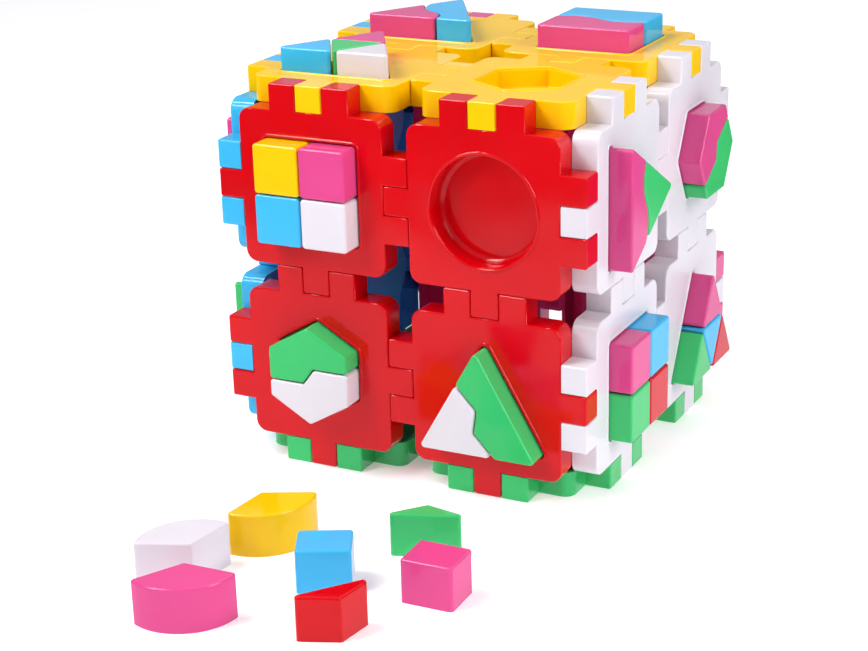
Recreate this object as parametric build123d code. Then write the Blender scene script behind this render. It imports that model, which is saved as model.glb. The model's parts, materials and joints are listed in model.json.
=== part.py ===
from build123d import *
import os
from math import cos, radians, sin, sqrt

# Shape sorter: a cube of twenty-four interlocking square panels, four to a face. Each panel
# is a shell with one blind recess, and coloured inserts plug into the recesses. Seven
# inserts lie loose on the floor in front of the cube. Millimetres, origin at the middle
# of the cube's base, +Z up, the red face towards -Y and the white face towards +X.

# ---- driving dimensions of a panel
TOOTH_LENGTH = 15.0  # also the thickness of a panel
BODY_SIDE = 90.0
CORNER_MARGIN = 20.0  # from a body corner to the first tooth slot
FIT_GAP = 0.2  # between the faces of two interlocked panels
BODY_RADIUS = 7.0
TOOTH_ROOT = 8.0  # how far a tooth's outline starts inside the body
TOOTH_RADIUS = 1.2
EDGE_RADIUS = 0.9  # rounding round the outline of the outer face
WALL = 2.2
RIB_WIDTH = 1.6
RIB_SETBACK = 4.0  # from the back rim down to the ribs

# ---- driving dimensions of the recesses and inserts
RECESS_DEPTH = 12.0
RECESS_CORNER = 2.3
RECESS_FOOT = 2.2  # rounding between the wall and the floor of a recess
CIRCLE_FOOT = 3.0
RIM_RADIUS = 1.5
SQUARE_SIDE = 58.0
CIRCLE_RADIUS = 31.0
HEXAGON_SIDE = 29.5
TRIANGLE_SIDE = 72.0
INSERT_HEIGHT = 24.0
INSERT_SEAT = 10.2  # how deep an insert sits below the panel's face
INSERT_GAP = 0.35  # from an insert to its recess, and half the gap between two inserts
INSERT_CORNER = 2.0
INSERT_EDGE = 1.3
INSERT_WALL = 2.0
Z_CUT_OFFSET = 4.5  # how far each half of the hexagon's Z cut lies off its middle
WAVE_RISE = 4.5  # height of the arcs of the square's wavy cut
TRIANGLE_WAVE_RISE = 3.6
ZIGZAG_RISE = 4.2  # how far the bends of the triangle's zigzag lie off its middle
ZIGZAG_REACH = 5.4  # from the middle of the zigzag to each bend, along the cut
CUT_REACH = 47.0  # from the cut-off vertex of a triangle to each end of its cut

# ---- derived sizes
SLOT = (BODY_SIDE - 2 * CORNER_MARGIN) / 3
CUBE_SIDE = 2 * BODY_SIDE + 3 * TOOTH_LENGTH
HALF_CUBE = CUBE_SIDE / 2
PANEL_DEPTH = TOOTH_LENGTH - FIT_GAP / 2
PANEL_PITCH = (BODY_SIDE + TOOTH_LENGTH) / 2  # from the middle of a face to a panel's centre
ROOT3 = sqrt(3)
HALF_TRIANGLE = TRIANGLE_SIDE * ROOT3 / 4  # half the height of the triangular recess

# Teeth on the (+u, +v, -u, -v) sides of the one panel outline: a pair sits in the outer
# two slots, a single tooth in the middle slot.
TEETH = {0: (-SLOT, SLOT), 90: (-SLOT, SLOT), 180: (0,), 270: (0,)}


# ---- outlines, all centred on the panel
def panel_outline(inset=0.0):
    """The body square with its teeth, pulled in by inset on every side."""
    side = BODY_SIDE - FIT_GAP - 2 * inset
    outline = RectangleRounded(side, side, BODY_RADIUS - inset)
    root = BODY_SIDE / 2 - TOOTH_ROOT
    tip = BODY_SIDE / 2 + TOOTH_LENGTH - FIT_GAP / 2 - inset
    for angle, places in TEETH.items():
        for along in places:
            tooth = RectangleRounded(tip - root, SLOT - FIT_GAP - 2 * inset, TOOTH_RADIUS)
            outline += Rot(0, 0, angle) * Pos((tip + root) / 2, along) * tooth
    return outline


def polygon(points):
    """A flat face from its corners, which run counter-clockwise."""
    return make_face(Polyline([*points, points[0]]))


def wave_edged(wave, corners):
    """A flat face with two joined arcs along one side, counter-clockwise.

    wave is start, a point on the first arc, the join, a point on the second arc, and end.
    """
    start, rise, join, fall, end = wave
    arcs = [ThreePointArc(start, rise, join), ThreePointArc(join, fall, end)]
    return make_face(Curve() + [*arcs, Polyline(end, *corners, start)])


def hexagon_points(side=HEXAGON_SIDE):
    """Corners of a hexagon that stands on a corner, counter-clockwise from the right."""
    return [(side * cos(radians(a)), side * sin(radians(a))) for a in range(-30, 330, 60)]


def triangle_points(side=TRIANGLE_SIDE):
    """Lower left, lower right and apex, with the middle of its height at the centre."""
    half = side * ROOT3 / 4
    return [(-side / 2, -half), (side / 2, -half), (0, half)]


def recess_outline(shape, grow=0.0):
    """A recess seen square on, in the canonical panel; grow moves its wall outwards."""
    if shape == "circle":
        return Sketch() + Circle(CIRCLE_RADIUS + grow)
    if shape == "square":
        face = Rectangle(SQUARE_SIDE + 2 * grow, SQUARE_SIDE + 2 * grow)
    elif shape == "hexagon":
        face = Rot(0, 0, 30) * polygon(hexagon_points(HEXAGON_SIDE + grow * 2 / ROOT3))
    else:
        # growing an equilateral triangle keeps its centroid, a third of the way up
        bigger = TRIANGLE_SIDE + grow * 2 * ROOT3
        lift = (bigger - TRIANGLE_SIDE) * ROOT3 / 12
        face = Rot(0, 0, -90) * Pos(0, lift) * polygon(triangle_points(bigger))
    face = Sketch() + face
    return fillet(face.vertices(), RECESS_CORNER + grow)


# ---- panels
def outer_face(solid):
    return solid.faces().filter_by(Axis.Z).sort_by(Axis.Z)[-1]


def recess_cavity(shape):
    cavity = extrude(recess_outline(shape), -RECESS_DEPTH)
    floor = cavity.faces().filter_by(Axis.Z).sort_by(Axis.Z)[0]
    return fillet(floor.edges(), CIRCLE_FOOT if shape == "circle" else RECESS_FOOT)


def make_panel(shape):
    """One moulding: outer face at z = 0, open back, recess and its cup, four ribs."""
    panel = extrude(panel_outline(), -PANEL_DEPTH)
    panel = fillet(outer_face(panel).edges(), EDGE_RADIUS)
    hollow = panel_outline(WALL) - recess_outline(shape, WALL)
    ribs = Rectangle(BODY_SIDE, RIB_WIDTH) + Rectangle(RIB_WIDTH, BODY_SIDE)
    panel -= Pos(0, 0, -WALL) * extrude(hollow - ribs, -PANEL_DEPTH)
    panel -= Pos(0, 0, RIB_SETBACK - PANEL_DEPTH) * extrude(hollow, -PANEL_DEPTH)
    panel -= Pos(0, 0, -RECESS_DEPTH - WALL) * extrude(panel_outline(WALL), -PANEL_DEPTH)
    panel -= recess_cavity(shape)
    rim = outer_face(panel).inner_wires()[0]
    return fillet(rim.edges(), RIM_RADIUS)


# ---- inserts: each cut shape tiles its recess exactly, and every piece is then pulled in
def hexagon_z_halves():
    """Upper and lower half of the upright hexagon, split by a Z-shaped cut."""
    lower_right, right, apex, left, lower_left, foot = hexagon_points()
    flat, step = right[0], Z_CUT_OFFSET
    cut = [(-flat, -step), (-step * 0.75, -step), (step * 0.75, step), (flat, step)]
    upper = [*cut, right, apex, left]
    lower = [*reversed(cut), lower_left, foot, lower_right]
    return [polygon(upper), polygon(lower)]


def hexagon_quarters():
    """Two rectangles side by side, and the two flat triangles left over."""
    half, flat = HEXAGON_SIDE / 2, HEXAGON_SIDE * ROOT3 / 2
    lower_right, right, apex, left, lower_left, foot = hexagon_points()
    return [
        polygon([(-flat, -half), (0, -half), (0, half), (-flat, half)]),
        polygon([(0, -half), (flat, -half), (flat, half), (0, half)]),
        polygon([left, right, apex]),
        polygon([lower_left, foot, lower_right]),
    ]


def square_quarters():
    """Upper left, upper right, lower left, lower right."""
    h = SQUARE_SIDE / 4
    return [Pos(x, y) * Rectangle(2 * h, 2 * h) for y in (h, -h) for x in (-h, h)]


def square_wave_halves():
    """Lower and upper half of the square, split by a cut of two opposite arcs."""
    h = SQUARE_SIDE / 2
    wave = [(-h, 0), (-h / 2, WAVE_RISE), (0, 0), (h / 2, -WAVE_RISE), (h, 0)]
    upper = wave_edged(wave, [(h, h), (-h, h)])
    return [Rot(0, 0, 180) * upper, upper]


def triangle_quarters():
    """Top, inverted centre, lower left and lower right small triangles."""
    left, right, apex = triangle_points()
    left_mid, right_mid, foot_mid = (
        ((a[0] + b[0]) / 2, (a[1] + b[1]) / 2)
        for a, b in ((left, apex), (right, apex), (left, right))
    )
    return [
        polygon([left_mid, right_mid, apex]),
        polygon([left_mid, foot_mid, right_mid]),
        polygon([left, foot_mid, left_mid]),
        polygon([foot_mid, right, right_mid]),
    ]


def from_left_vertex(along, across):
    """A point given along and across the line that halves the triangle's left corner."""
    x, y = triangle_points()[0]
    c, s = cos(radians(30)), sin(radians(30))
    return (x + along * c - across * s, y + along * s + across * c)


def triangle_cut_ends():
    reach = CUT_REACH * cos(radians(30))
    across = CUT_REACH * sin(radians(30))
    return from_left_vertex(reach, across), from_left_vertex(reach, -across)


def triangle_zigzag_halves():
    """The lower left part and the rest, split by a straight-sided zigzag."""
    left, right, apex = triangle_points()
    start, end = triangle_cut_ends()
    middle = CUT_REACH * cos(radians(30))
    bend = from_left_vertex(middle + ZIGZAG_RISE, ZIGZAG_REACH)
    back_bend = from_left_vertex(middle - ZIGZAG_RISE, -ZIGZAG_REACH)
    cut = [start, bend, back_bend, end]
    return [polygon([left, *reversed(cut)]), polygon([*cut, right, apex])]


def triangle_wave_halves():
    """The lower left part and the rest, split by a cut of two opposite arcs."""
    left, right, apex = triangle_points()
    start, end = triangle_cut_ends()
    middle, quarter = CUT_REACH * cos(radians(30)), CUT_REACH / 4
    rise = from_left_vertex(middle - TRIANGLE_WAVE_RISE, quarter)
    fall = from_left_vertex(middle + TRIANGLE_WAVE_RISE, -quarter)
    wave = [start, rise, from_left_vertex(middle, 0), fall, end]
    return [wave_edged(wave[::-1], [left]), wave_edged(wave, [right, apex])]


def circle_thirds():
    """Three equal sectors, the first one centred on the upward direction."""
    r, thirds = CIRCLE_RADIUS, []
    for middle in (90, 210, 330):
        start, top, end = (
            (r * cos(radians(a)), r * sin(radians(a))) for a in (middle - 60, middle, middle + 60)
        )
        arc = ThreePointArc(start, top, end)
        thirds.append(make_face(Curve() + [arc, Polyline(end, (0, 0), start)]))
    return thirds


def make_insert(shape):
    """A block with rounded corners and an open, hollow underside, its foot at z = 0."""
    outline = offset(shape, -INSERT_GAP, kind=Kind.INTERSECTION)
    inside = offset(shape, -INSERT_GAP - INSERT_WALL, kind=Kind.INTERSECTION)
    outline = fillet(outline.vertices(), INSERT_CORNER)
    block = extrude(outline, INSERT_HEIGHT)
    block = fillet(outer_face(block).edges(), INSERT_EDGE)
    return block - extrude(inside, INSERT_HEIGHT - INSERT_WALL)


# ---- the six faces: +u, outward normal, and the letters that name the panels
FACES = {
    "front": ((1, 0, 0), (0, -1, 0)),
    "right": ((0, 1, 0), (1, 0, 0)),
    "back": ((-1, 0, 0), (0, 1, 0)),
    "left": ((0, -1, 0), (-1, 0, 0)),
    "top": ((1, 0, 0), (0, 0, 1)),
    "bottom": ((1, 0, 0), (0, 0, -1)),
}


def face_plane(face):
    """The outer surface of one face of the cube, centred on it."""
    across, normal = FACES[face]
    centre = Vector(0, 0, HALF_CUBE) + Vector(*normal) * HALF_CUBE
    return Plane(origin=centre, x_dir=across, z_dir=normal)


# Each panel: name, face, sign of u and v, quarter turns of the moulding, recess shape.
PANELS = [
    ("front_upper_left_panel", "front", -1, 1, 0, "square"),
    ("front_upper_right_panel", "front", 1, 1, 0, "circle"),
    ("front_lower_left_panel", "front", -1, -1, 1, "hexagon"),
    ("front_lower_right_panel", "front", 1, -1, 1, "triangle"),
    ("right_upper_front_panel", "right", -1, 1, 0, "triangle"),
    ("right_upper_back_panel", "right", 1, 1, 0, "hexagon"),
    ("right_lower_front_panel", "right", -1, -1, 1, "square"),
    ("right_lower_back_panel", "right", 1, -1, 1, "triangle"),
    ("top_front_left_panel", "top", -1, -1, 1, "triangle"),
    ("top_front_right_panel", "top", 1, -1, 1, "hexagon"),
    ("top_back_left_panel", "top", -1, 1, 1, "triangle"),
    ("top_back_right_panel", "top", 1, 1, 1, "square"),
    ("left_upper_front_panel", "left", 1, 1, 3, "square"),
    ("left_upper_back_panel", "left", -1, 1, 3, "circle"),
    ("left_lower_front_panel", "left", 1, -1, 2, "triangle"),
    ("left_lower_back_panel", "left", -1, -1, 2, "hexagon"),
    ("back_upper_right_panel", "back", -1, 1, 3, "circle"),
    ("back_upper_left_panel", "back", 1, 1, 3, "triangle"),
    ("back_lower_right_panel", "back", -1, -1, 2, "square"),
    ("back_lower_left_panel", "back", 1, -1, 2, "hexagon"),
    ("bottom_front_left_panel", "bottom", -1, 1, 0, "square"),
    ("bottom_front_right_panel", "bottom", 1, 1, 0, "circle"),
    ("bottom_back_left_panel", "bottom", -1, -1, 0, "triangle"),
    ("bottom_back_right_panel", "bottom", 1, -1, 0, "hexagon"),
]

# How each recess is filled: panel, cut, turn of the upright cut in degrees, the vertex of
# a triangle that its cut takes off (0 left, 1 right, 2 apex), and the node of each piece.
# Pieces with the same node are joined in it as separate solids.
FILLINGS = [
    ("front_upper_left", square_quarters, 0, 0,
     ["front_square_yellow", "front_square_pink", "front_square_blue", "front_square_white"]),
    ("front_lower_left", hexagon_z_halves, 0, 0, ["front_hexagon_green", "front_hexagon_white"]),
    ("front_lower_right", triangle_zigzag_halves, 0, 0,
     ["front_triangle_white", "front_triangle_green"]),
    ("right_upper_front", triangle_wave_halves, -90, 2,
     ["right_triangle_green", "right_triangle_pink"]),
    ("right_upper_back", hexagon_z_halves, 30, 0, ["right_hexagon_pink", "right_hexagon_green"]),
    ("right_lower_front", square_quarters, 0, 0, ["right_square_inserts"] * 4),
    ("right_lower_back", triangle_quarters, 0, 0, ["right_triangle_inserts"] * 4),
    ("top_front_left", triangle_quarters, 0, 0, ["top_triangle_inserts"] * 4),
    ("top_back_left", triangle_wave_halves, 0, 0, ["top_triangle_pink", "top_triangle_blue"]),
    ("top_back_right", square_wave_halves, 0, 0, ["top_square_pink", "top_square_blue"]),
    ("left_upper_front", square_wave_halves, 90, 0, ["left_square_pink", "left_square_white"]),
    ("left_upper_back", circle_thirds, 0, 0, ["left_circle_inserts"] * 3),
    ("left_lower_front", triangle_quarters, 90, 0, ["left_triangle_inserts"] * 4),
    ("left_lower_back", hexagon_quarters, 90, 0, ["left_hexagon_inserts"] * 4),
    ("back_upper_right", circle_thirds, 0, 0, ["back_circle_inserts"] * 3),
    ("back_upper_left", triangle_zigzag_halves, 180, 0, ["back_triangle_inserts"] * 2),
    ("back_lower_right", square_quarters, 0, 0, ["back_square_inserts"] * 4),
    ("back_lower_left", hexagon_z_halves, 30, 0, ["back_hexagon_green", "back_hexagon_yellow"]),
]

# The loose inserts: node, cut, which of its pieces, place of its centroid on the floor, and
# its turn in degrees.
LOOSE = [
    ("loose_circle_white", circle_thirds, 0, (-51, -262), 52),
    ("loose_circle_pink", circle_thirds, 0, (-21, -305), -148),
    ("loose_circle_yellow", circle_thirds, 0, (-25, -213), -125),
    ("loose_hexagon_blue", hexagon_quarters, 0, (22, -241), -64),
    ("loose_hexagon_pink", hexagon_quarters, 1, (81, -232), -89),
    ("loose_hexagon_green", hexagon_quarters, 2, (54, -190), 20),
    ("loose_hexagon_red", hexagon_quarters, 3, (53, -287), 52),
]


def centroid_turn(shape, quarter):
    """Turns a triangle's cut round the triangle's centroid, so that it takes another vertex."""
    centroid = (0, -HALF_TRIANGLE / 3)
    return Pos(*centroid) * Rot(0, 0, 120 * quarter) * Pos(-centroid[0], -centroid[1]) * shape


def place_panels():
    mouldings = {shape: make_panel(shape) for shape in ("square", "circle", "hexagon", "triangle")}
    for name, face, u, v, turns, shape in PANELS:
        place = Pos(u * PANEL_PITCH, v * PANEL_PITCH) * Rot(0, 0, 90 * turns)
        yield name, face_plane(face) * place * mouldings[shape]


def place_inserts():
    where = {name.removesuffix("_panel"): (face, u, v) for name, face, u, v, *_ in PANELS}
    for panel, cut, turn, vertex, nodes in FILLINGS:
        face, u, v = where[panel]
        place = face_plane(face) * Pos(u * PANEL_PITCH, v * PANEL_PITCH, -INSERT_SEAT)
        for node, shape in zip(nodes, cut()):
            if vertex:
                shape = centroid_turn(shape, vertex)
            yield node, place * make_insert(Rot(0, 0, turn) * shape)


def place_loose():
    for node, cut, which, middle, turn in LOOSE:
        shape = cut()[which]
        centre = shape.center(CenterOf.MASS)
        block = make_insert(Pos(-centre.X, -centre.Y) * shape)
        yield node, Pos(*middle) * Rot(0, 0, turn) * block


def export_all():
    os.makedirs("parts", exist_ok=True)
    nodes = {}
    for maker in (place_panels, place_inserts, place_loose):
        for node, shape in maker():
            nodes.setdefault(node, []).extend(shape.solids())
    for node, solids in nodes.items():
        whole = solids[0] if len(solids) == 1 else Compound(children=solids)
        export_step(whole, f"parts/{node}.step")


export_all()
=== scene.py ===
import json
import math

import bmesh
import bpy
from mathutils import Matrix, Vector

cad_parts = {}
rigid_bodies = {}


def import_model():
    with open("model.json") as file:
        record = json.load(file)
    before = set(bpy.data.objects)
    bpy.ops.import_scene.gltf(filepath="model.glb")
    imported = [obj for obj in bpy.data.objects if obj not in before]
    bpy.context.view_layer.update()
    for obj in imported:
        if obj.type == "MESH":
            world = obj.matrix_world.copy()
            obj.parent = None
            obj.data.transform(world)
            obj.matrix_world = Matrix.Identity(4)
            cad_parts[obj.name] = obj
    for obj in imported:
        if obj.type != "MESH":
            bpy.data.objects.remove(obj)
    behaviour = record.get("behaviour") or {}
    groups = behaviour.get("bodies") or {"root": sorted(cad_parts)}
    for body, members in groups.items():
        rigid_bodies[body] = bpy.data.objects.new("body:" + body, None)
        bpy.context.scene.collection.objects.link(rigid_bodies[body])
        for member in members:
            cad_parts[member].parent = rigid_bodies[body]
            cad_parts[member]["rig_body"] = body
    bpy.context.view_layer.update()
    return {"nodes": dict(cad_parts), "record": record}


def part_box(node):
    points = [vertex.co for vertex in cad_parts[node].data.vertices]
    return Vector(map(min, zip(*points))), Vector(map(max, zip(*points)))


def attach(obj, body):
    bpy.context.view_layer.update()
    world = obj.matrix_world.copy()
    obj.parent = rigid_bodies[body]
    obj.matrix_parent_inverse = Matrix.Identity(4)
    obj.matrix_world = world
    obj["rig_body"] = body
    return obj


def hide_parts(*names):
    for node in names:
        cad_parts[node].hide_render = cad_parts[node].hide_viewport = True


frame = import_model()

# The looks of a sorter cube. Panels and single-coloured inserts are the CAD's own meshes. The
# sets that share one CAD node are taken apart here, so that each insert has its own colour.

CUBE_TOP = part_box("top_front_right_panel")[1].z
CUBE_MIDDLE = Vector((0, 0, CUBE_TOP / 2))

# ---- colours of the moulded plastic, as they read on a screen (0 to 255)
COLOURS = {
    "red": (206, 0, 12),
    "yellow": (246, 196, 4),
    "white": (220, 216, 224),
    "blue": (60, 181, 234),
    "pink": (214, 72, 136),
    "green": (56, 190, 106),
}

# ---- the plastic's surface: sizes are in metres
NOISE_LOW, NOISE_HIGH = 0.3, 0.7
TINT_SIZE = 0.09
DARK_TINT, LIGHT_TINT = 0.93, 1.05
SHEEN_SIZE = 0.02
SHEEN_DETAIL = 4
POLISHED, DULL = 0.05, 0.11
RIPPLE_SIZE = 0.028
RIPPLE_DEPTH = 0.00022
GRAIN_SIZE = 0.0006
GRAIN_DEPTH = 0.000006
SURFACE_IOR = 1.43
GLOW_SHARE, GLOW_DEPTH = 0.06, 0.002

# ---- shading of the CAD meshes
WELD_GAP = 1e-6
SMOOTH_ANGLE = math.radians(32)
NORMAL_WEIGHT = 100
# How far from the middle of a set to look for the insert that lies in a direction, in metres.
SET_REACH = 0.02

# ---- the raised bead round each recess, in metres
BEAD_RADIUS = 0.0011
BEAD_SUNK = 0.0004
BEAD_STEPS = 3
ON_FACE = 2e-5


def linear(colour):
    """Screen values from 0 to 255 as the linear colour that shaders use."""
    def one(value):
        share = value / 255
        return share / 12.92 if share <= 0.04045 else ((share + 0.055) / 1.055) ** 2.4
    return tuple(one(v) for v in colour)


# ---- materials
class Nodes:
    """A short way to write a node tree: add a node, set its sockets, link them."""

    def __init__(self, material):
        material.use_nodes = True
        self.tree = material.node_tree
        self.shader = self.tree.nodes["Principled BSDF"]

    def add(self, kind, **settings):
        node = self.tree.nodes.new(kind)
        for name, value in settings.items():
            setattr(node, name, value)
        return node

    def link(self, source, target):
        self.tree.links.new(source, target)

    def noise(self, size, detail=2.0):
        place = self.add("ShaderNodeTexCoord")
        noise = self.add("ShaderNodeTexNoise")
        noise.inputs["Scale"].default_value = 1 / size
        noise.inputs["Detail"].default_value = detail
        self.link(place.outputs["Object"], noise.inputs["Vector"])
        return noise.outputs["Fac"]

    def spread(self, value, low, high):
        """Maps a noise value, which stays near a half, onto low to high."""
        spread = self.add("ShaderNodeMapRange")
        spread.inputs["From Min"].default_value = NOISE_LOW
        spread.inputs["From Max"].default_value = NOISE_HIGH
        spread.inputs["To Min"].default_value = low
        spread.inputs["To Max"].default_value = high
        self.link(value, spread.inputs["Value"])
        return spread.outputs["Result"]

    def bump(self, height, depth, below=None):
        bump = self.add("ShaderNodeBump")
        bump.inputs["Distance"].default_value = depth
        self.link(height, bump.inputs["Height"])
        if below:
            self.link(below, bump.inputs["Normal"])
        return bump.outputs["Normal"]


def plastic(name, colour):
    """Glossy moulded plastic: faint tint clouds, uneven polish, sink ripples and fine grain."""
    material = bpy.data.materials.new(name)
    nodes = Nodes(material)
    base = linear(colour)
    # A colour mix takes its share at input 0 and its two colours at 6 and 7, and gives output 2.
    mix = nodes.add("ShaderNodeMix", data_type="RGBA")
    mix.inputs[6].default_value = (*(c * DARK_TINT for c in base), 1)
    mix.inputs[7].default_value = (*(min(1, c * LIGHT_TINT) for c in base), 1)
    nodes.link(nodes.spread(nodes.noise(TINT_SIZE), 0, 1), mix.inputs[0])
    nodes.link(mix.outputs[2], nodes.shader.inputs["Base Color"])
    polish = nodes.spread(nodes.noise(SHEEN_SIZE, SHEEN_DETAIL), POLISHED, DULL)
    nodes.link(polish, nodes.shader.inputs["Roughness"])
    ripple = nodes.bump(nodes.noise(RIPPLE_SIZE, 0), RIPPLE_DEPTH)
    grain = nodes.bump(nodes.noise(GRAIN_SIZE), GRAIN_DEPTH, ripple)
    nodes.link(grain, nodes.shader.inputs["Normal"])
    nodes.shader.inputs["IOR"].default_value = SURFACE_IOR
    nodes.shader.inputs["Subsurface Weight"].default_value = GLOW_SHARE
    nodes.shader.inputs["Subsurface Scale"].default_value = GLOW_DEPTH
    return material


MATERIALS = {name: plastic(name + "_plastic", colour) for name, colour in COLOURS.items()}


def paint(piece, colour):
    piece.data.materials.clear()
    piece.data.materials.append(MATERIALS[colour])


# ---- CAD nodes that stay whole, with a material and smooth shading
def smooth(piece):
    """Welds the mesh and shades it smooth over its roundings, flat over its flats."""
    weld = piece.modifiers.new("weld", "WELD")
    weld.merge_threshold = WELD_GAP
    normals = piece.modifiers.new("normals", "WEIGHTED_NORMAL")
    normals.keep_sharp = True
    normals.weight = NORMAL_WEIGHT


def dress_cad_nodes():
    """Dresses every node of one colour; the sets are of mixed plastic and come later."""
    for part in frame["record"]["subparts"]:
        colour = part["material_slot"].removesuffix("_plastic")
        piece = frame["nodes"][part["node"]]
        if colour in COLOURS:
            paint(piece, colour)
            smooth(piece)


# ---- sets of inserts that share a CAD node
# Each face's directions to its right and up, seen from outside.
FACES = {
    "right": (Vector((0, 1, 0)), Vector((0, 0, 1))),
    "back": (Vector((-1, 0, 0)), Vector((0, 0, 1))),
    "left": (Vector((0, -1, 0)), Vector((0, 0, 1))),
    "top": (Vector((1, 0, 0)), Vector((0, 1, 0))),
}
# The colour of each insert, by the direction in degrees in which it lies from the middle of
# its set; None is the one in the middle.
SETS = {
    "right_square_inserts": {135: "pink", 45: "blue", 225: "green", 315: "red"},
    "right_triangle_inserts": {90: "pink", None: "blue", 210: "green", 330: "red"},
    "top_triangle_inserts": {90: "pink", None: "green", 210: "blue", 330: "white"},
    "left_circle_inserts": {90: "pink", 210: "yellow", 330: "white"},
    "left_triangle_inserts": {180: "yellow", None: "white", 60: "green", 300: "red"},
    "left_hexagon_inserts": {90: "pink", 180: "yellow", 270: "green", 0: "red"},
    "back_circle_inserts": {90: "blue", 210: "yellow", 330: "green"},
    "back_triangle_inserts": {30: "yellow", 210: "blue"},
    "back_square_inserts": {135: "green", 45: "yellow", 225: "white", 315: "blue"},
}


def loose_parts(mesh):
    """The connected parts of a mesh, each as its own bmesh."""
    whole = bmesh.new()
    whole.from_mesh(mesh)
    bmesh.ops.remove_doubles(whole, verts=whole.verts, dist=WELD_GAP)
    whole.verts.index_update()
    owner, count = {}, 0
    for seed in whole.verts:
        if seed.index in owner:
            continue
        owner[seed.index] = count
        queue = [seed]
        while queue:
            for edge in queue.pop().link_edges:
                for vertex in edge.verts:
                    if vertex.index not in owner:
                        owner[vertex.index] = count
                        queue.append(vertex)
        count += 1
    parts = []
    for number in range(count):
        part = whole.copy()
        part.verts.index_update()
        others = [v for v in part.verts if owner[v.index] != number]
        bmesh.ops.delete(part, geom=others, context="VERTS")
        parts.append(part)
    whole.free()
    return parts


def split_set(node, colours):
    """Each insert of a set as its own piece, in its own colour."""
    across, up = FACES[node.split("_")[0]]
    body = frame["nodes"][node]["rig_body"]
    parts = loose_parts(frame["nodes"][node].data)
    centres = [sum((v.co for v in p.verts), Vector()) / len(p.verts) for p in parts]
    whole = sum(centres, Vector()) / len(centres)
    pieces = {}
    for place, colour in colours.items():
        if place is None:
            target = whole
        else:
            turn = math.radians(place)
            target = whole + SET_REACH * (across * math.cos(turn) + up * math.sin(turn))
        nearest = min(range(len(parts)), key=lambda i: (centres[i] - target).length)
        mesh = bpy.data.meshes.new(f"{node.removesuffix('s')}_{colour}")
        parts[nearest].to_mesh(mesh)
        piece = bpy.data.objects.new(mesh.name, mesh)
        bpy.context.scene.collection.objects.link(piece)
        for face in mesh.polygons:
            face.use_smooth = True
        mesh.set_sharp_from_angle(angle=SMOOTH_ANGLE)
        paint(piece, colour)
        smooth(piece)
        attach(piece, body)
        pieces[nearest] = piece
    if len(pieces) != len(parts):
        raise ValueError(f"{node}: {len(parts)} inserts and {len(pieces)} colours matched")
    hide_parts(node)
    for part in parts:
        part.free()


dress_cad_nodes()
for set_node, set_colours in SETS.items():
    split_set(set_node, set_colours)


# ---- the bead round each recess
NORMALS = {
    "front": Vector((0, -1, 0)),
    "right": Vector((1, 0, 0)),
    "back": Vector((0, 1, 0)),
    "left": Vector((-1, 0, 0)),
    "top": Vector((0, 0, 1)),
}


def closed_loops(edges):
    """The closed loops that a set of edges forms, each as its points in order."""
    left, loops = set(edges), []
    while left:
        edge = min(left, key=lambda e: e.index)
        left.remove(edge)
        start, here = edge.verts
        points = [start.co.copy()]
        while here is not start:
            points.append(here.co.copy())
            edge = next(e for e in here.link_edges if e in left)
            left.remove(edge)
            here = edge.other_vert(here)
        loops.append(points)
    return loops


def length(points):
    return sum((a - b).length for a, b in zip(points, points[1:] + points[:1]))


def recess_rim(node, normal):
    """The line where a panel's flat outer face starts to round off into its recess."""
    panel = bmesh.new()
    panel.from_mesh(frame["nodes"][node].data)
    bmesh.ops.remove_doubles(panel, verts=panel.verts, dist=WELD_GAP)
    panel.edges.index_update()
    height = max(v.co.dot(normal) for v in panel.verts)

    def flat(face):
        return all(height - v.co.dot(normal) < ON_FACE for v in face.verts)

    border = [e for e in panel.edges if sum(flat(f) for f in e.link_faces) == 1]
    rim = min(closed_loops(border), key=length)
    panel.free()
    return rim


def add_bead(node):
    """A half-round bead on the rim of a recess, as its own piece on the panel's body."""
    normal = NORMALS[node.split("_")[0]]
    rim = recess_rim(node, normal)
    curve = bpy.data.curves.new("bead", "CURVE")
    curve.dimensions = "3D"
    curve.bevel_depth = BEAD_RADIUS
    curve.bevel_resolution = BEAD_STEPS
    line = curve.splines.new("POLY")
    line.points.add(len(rim) - 1)
    for point, place in zip(line.points, rim):
        point.co = (*(place - normal * BEAD_SUNK), 1)
    line.use_cyclic_u = True
    shape = bpy.data.objects.new("bead", curve)
    bpy.context.scene.collection.objects.link(shape)
    bpy.context.view_layer.update()
    evaluated = shape.evaluated_get(bpy.context.evaluated_depsgraph_get())
    mesh = bpy.data.meshes.new_from_object(evaluated)
    bpy.data.objects.remove(shape)
    mesh.name = node.removesuffix("_panel") + "_bead"
    piece = bpy.data.objects.new(mesh.name, mesh)
    bpy.context.scene.collection.objects.link(piece)
    for face in mesh.polygons:
        face.use_smooth = True
    slot = next(p["material_slot"] for p in frame["record"]["subparts"] if p["node"] == node)
    paint(piece, slot.removesuffix("_plastic"))
    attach(piece, frame["nodes"][node]["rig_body"])


for panel_node in sorted(frame["nodes"]):
    if panel_node.endswith("_panel") and not panel_node.startswith("bottom"):
        add_bead(panel_node)


# ---- floor and light
FLOOR_SIZE = 12.0
FLOOR_COLOUR = (252, 251, 252)
FLOOR_ROUGHNESS = 0.9
FLOOR_GLOW = 0.25
# The studio's brightness by direction, from 0 straight down to 1 straight up. The plastic
# mirrors a near white table below, the dark room past its edge, and a soft sky above.
STUDIO = ((0.0, 0.95), (0.352, 0.95), (0.361, 0.1), (0.485, 0.1), (0.515, 0.38), (1.0, 0.38))
STUDIO_TINT = (0.95, 0.93, 1.0)
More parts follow.
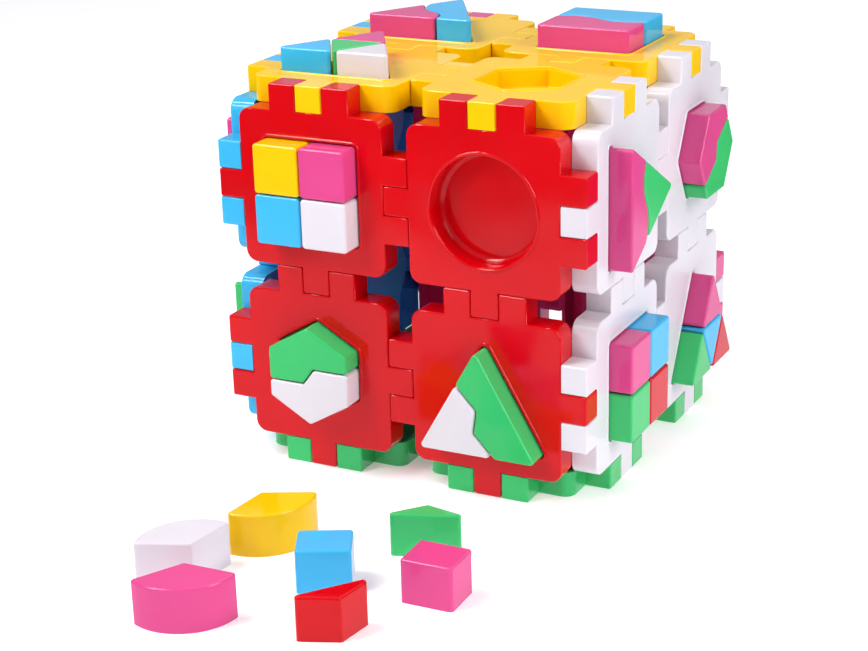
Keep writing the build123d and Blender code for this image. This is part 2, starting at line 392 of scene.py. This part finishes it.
# Each softbox: azimuth and elevation in degrees, distance and size in metres, power in watts.
SOFTBOXES = {
    "overhead": (-52, 58, 1.5, (0.5, 0.5), 11),
    "right": (80, 30, 1.7, (0.6, 0.9), 16),
    "front_left": (-33, 38, 1.5, (0.4, 0.6), 8),
    "behind": (180, 50, 2.8, (2.6, 2.0), 20),
}
# The lamp inside the cube: power in watts, radius in metres and tint.
INNER_POWER = 0.1
INNER_RADIUS = 0.02
INNER_TINT = (1.0, 0.16, 0.5)


def make_floor():
    bpy.ops.mesh.primitive_plane_add(size=FLOOR_SIZE, location=(0, 0, 0))
    floor = bpy.context.object
    floor.name = "floor"
    material = bpy.data.materials.new("floor_paper")
    nodes = Nodes(material)
    nodes.shader.inputs["Base Color"].default_value = (*linear(FLOOR_COLOUR), 1)
    nodes.shader.inputs["Roughness"].default_value = FLOOR_ROUGHNESS
    nodes.shader.inputs["Emission Color"].default_value = (1, 1, 1, 1)
    nodes.shader.inputs["Emission Strength"].default_value = FLOOR_GLOW
    floor.data.materials.append(material)
    # The plastic mirrors the studio's light instead of the floor.
    floor.visible_glossy = False


def look_from(obj, place, aim, roll=0.0):
    """Puts a camera or light at place, facing aim, turned by roll degrees."""
    back = (place - aim).normalized()
    right = Vector((0, 0, 1)).cross(back).normalized()
    up = back.cross(right)
    turn = math.radians(roll)
    rolled = right * math.cos(turn) + up * math.sin(turn)
    above = up * math.cos(turn) - right * math.sin(turn)
    facing = Matrix((rolled, above, back)).transposed().to_4x4()
    obj.matrix_world = Matrix.Translation(place) @ facing


def around(azimuth, elevation, distance):
    """A place seen from the cube's middle: azimuth 0 is in front, 90 to the right."""
    a, e = math.radians(azimuth), math.radians(elevation)
    way = Vector((math.sin(a) * math.cos(e), -math.cos(a) * math.cos(e), math.sin(e)))
    return CUBE_MIDDLE + distance * way


def softbox(name, azimuth, elevation, distance, size, power):
    light = bpy.data.lights.new(name, "AREA")
    light.shape = "RECTANGLE"
    light.size, light.size_y = size
    light.energy = power
    lamp = bpy.data.objects.new(name, light)
    bpy.context.scene.collection.objects.link(lamp)
    look_from(lamp, around(azimuth, elevation, distance), CUBE_MIDDLE)


def light_world():
    """Lights the studio by direction, the same from all sides."""
    world = bpy.data.worlds.new("studio")
    bpy.context.scene.world = world
    world.use_nodes = True
    tree = world.node_tree
    place = tree.nodes.new("ShaderNodeTexCoord")
    split = tree.nodes.new("ShaderNodeSeparateXYZ")
    height = tree.nodes.new("ShaderNodeMapRange")
    height.inputs["From Min"].default_value = -1
    ramp = tree.nodes.new("ShaderNodeValToRGB")
    stops = ramp.color_ramp.elements
    while len(stops) < len(STUDIO):
        stops.new(0.5)
    for stop, (at, value) in zip(stops, STUDIO):
        stop.position = at
        stop.color = (*(value * tint for tint in STUDIO_TINT), 1)
    tree.links.new(place.outputs["Generated"], split.inputs["Vector"])
    tree.links.new(split.outputs["Z"], height.inputs["Value"])
    tree.links.new(height.outputs["Result"], ramp.inputs["Fac"])
    tree.links.new(ramp.outputs["Color"], tree.nodes["Background"].inputs["Color"])


def glow_inside():
    """Stands in for the light that gets in between the panels and bounces about."""
    glow = bpy.data.lights.new("inside", "POINT")
    glow.energy = INNER_POWER
    glow.shadow_soft_size = INNER_RADIUS
    glow.color = INNER_TINT
    lamp = bpy.data.objects.new("inside", glow)
    bpy.context.scene.collection.objects.link(lamp)
    lamp.location = CUBE_MIDDLE


def light_studio():
    light_world()
    glow_inside()
    for name, settings in SOFTBOXES.items():
        softbox(name, *settings)


# ---- the camera: angles in degrees, places in metres, lens and sensor in millimetres
CAMERA_AZIMUTH = 25.62
CAMERA_ELEVATION = 17.24
CAMERA_DISTANCE = 1.1807
CAMERA_AIM = Vector((-0.0362, 0, 0.0516))
CAMERA_ROLL = -1.5
CAMERA_LENS = 81.54
CAMERA_SENSOR = 36
CAMERA_NEAR, CAMERA_FAR = 0.05, 50


def make_camera():
    camera = bpy.data.objects.new("camera", bpy.data.cameras.new("camera"))
    bpy.context.scene.collection.objects.link(camera)
    camera.data.sensor_width = CAMERA_SENSOR
    camera.data.lens = CAMERA_LENS
    camera.data.clip_start, camera.data.clip_end = CAMERA_NEAR, CAMERA_FAR
    place = around(CAMERA_AZIMUTH, CAMERA_ELEVATION, CAMERA_DISTANCE)
    look_from(camera, place, CAMERA_AIM, CAMERA_ROLL)
    bpy.context.scene.camera = camera


make_floor()
light_studio()
make_camera()
bpy.context.scene.view_settings.view_transform = "Standard"
